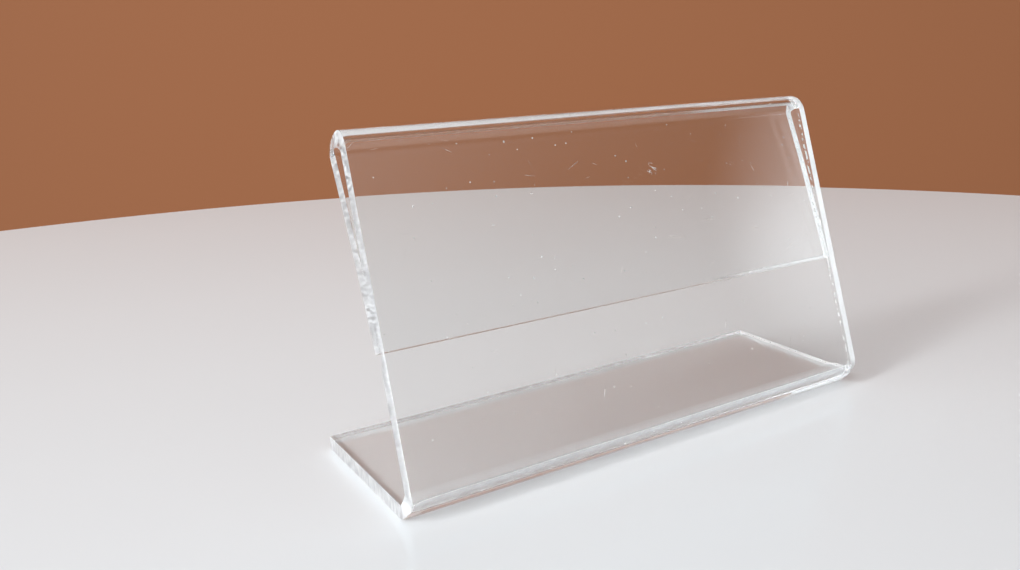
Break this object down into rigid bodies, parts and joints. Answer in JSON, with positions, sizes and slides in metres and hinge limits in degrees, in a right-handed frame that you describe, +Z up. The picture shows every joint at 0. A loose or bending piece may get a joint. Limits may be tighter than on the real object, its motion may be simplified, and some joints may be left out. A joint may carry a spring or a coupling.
{
  "type": "sign holder",
  "caption": "L-shaped sign holder: one bent strip of clear acrylic with a flat base, a leaning panel and a rear flap that grips a card.",
  "frame": {"origin": "on the table, under the middle of the holder's bounding box", "axes": "+X along the bends, across the sign; +Y from the front bend to the rear edge of the base; +Z up"},
  "size_m": [0.0908, 0.0308, 0.0524],
  "materials": {
    "clear_acrylic": "polished clear sheet with matt, frosty cut edges"
  },
  "bodies": {
    "root": {"bent_acrylic_sheet": "clear_acrylic"}
  },
  "joints": []
}
